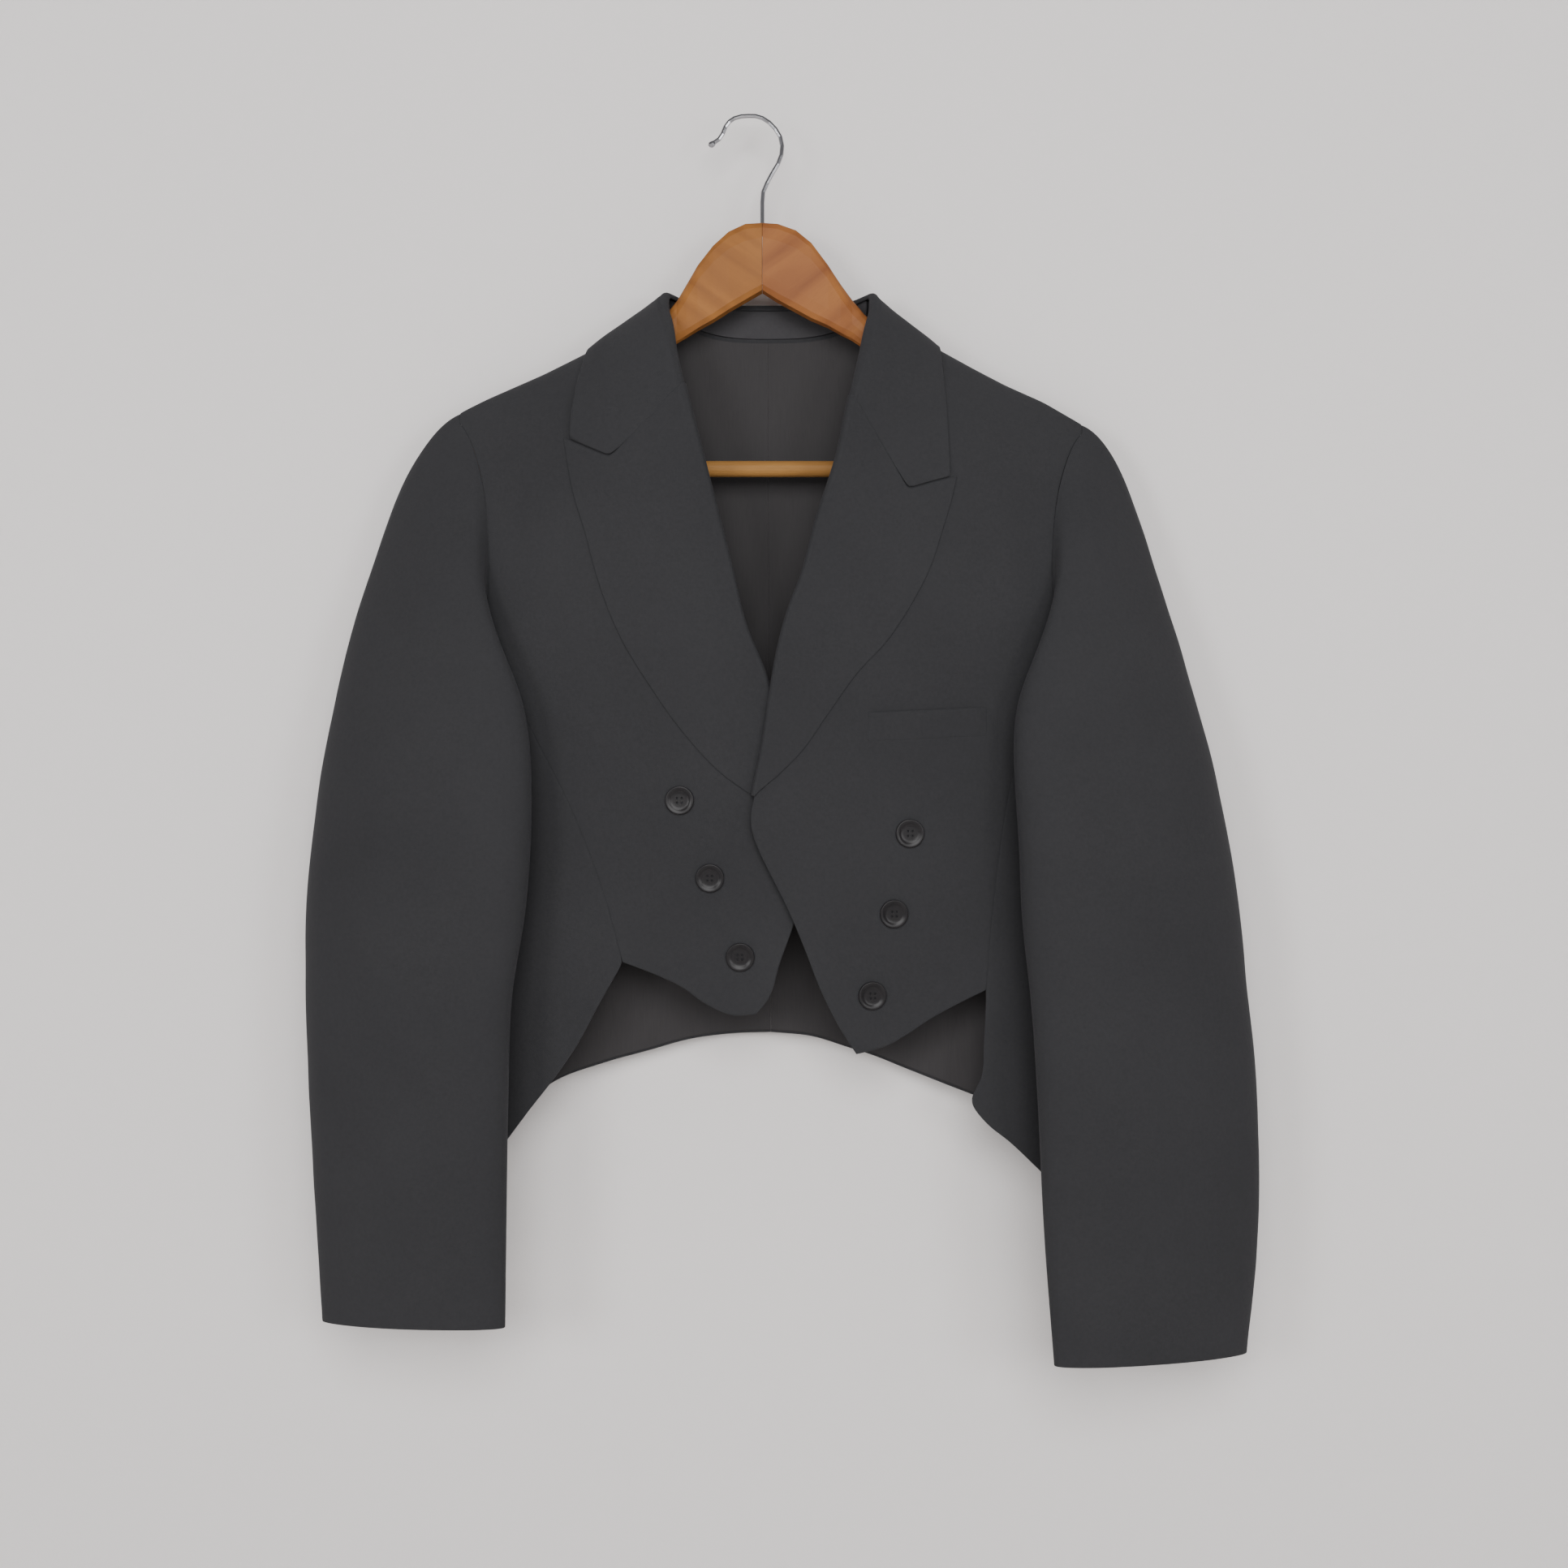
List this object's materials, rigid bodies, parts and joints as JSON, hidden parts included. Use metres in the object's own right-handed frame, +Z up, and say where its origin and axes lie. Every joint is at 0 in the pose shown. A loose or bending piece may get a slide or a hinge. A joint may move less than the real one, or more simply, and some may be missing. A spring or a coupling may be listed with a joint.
{
  "type": "blazer on a hanger",
  "caption": "Cropped double-breasted blazer with peaked lapels and an arched hem, worn closed on a wooden coat hanger with a trouser bar and a wire hook.",
  "frame": {"origin": "inner top of the hanger's hook, where it hangs on a rail or peg", "axes": "+Z up, the blazer's front faces -Y, +X towards the sleeve at the right of someone who looks at its front"},
  "size_m": [0.6652, 0.1168, 0.8765],
  "materials": {
    "wool": "matt black wool with a fine nap",
    "lining": "soft satin",
    "button": "half gloss",
    "hanger_wood": "satin lacquer",
    "bar_wood": "satin lacquer",
    "chrome": "polished"
  },
  "bodies": {
    "root": {"front_left": "wool", "front_right": "wool", "back_left": "wool", "back_right": "wool", "side_left": "wool", "side_right": "wool", "lapel_left": "wool", "lapel_right": "wool", "collar_leaf": "wool", "collar_stand": "wool", "sleeve_top_left": "wool", "sleeve_under_left": "wool", "sleeve_top_right": "wool", "sleeve_under_right": "wool", "breast_welt": "wool", "lining_left": "lining", "lining_right": "lining", "button_left_1": "button", "button_left_2": "button", "button_left_3": "button", "button_right_1": "button", "button_right_2": "button", "button_right_3": "button", "hanger_arm_left": "hanger_wood", "hanger_arm_right": "hanger_wood", "hanger_bar": "bar_wood", "hanger_hook": "chrome"}
  },
  "joints": []
}
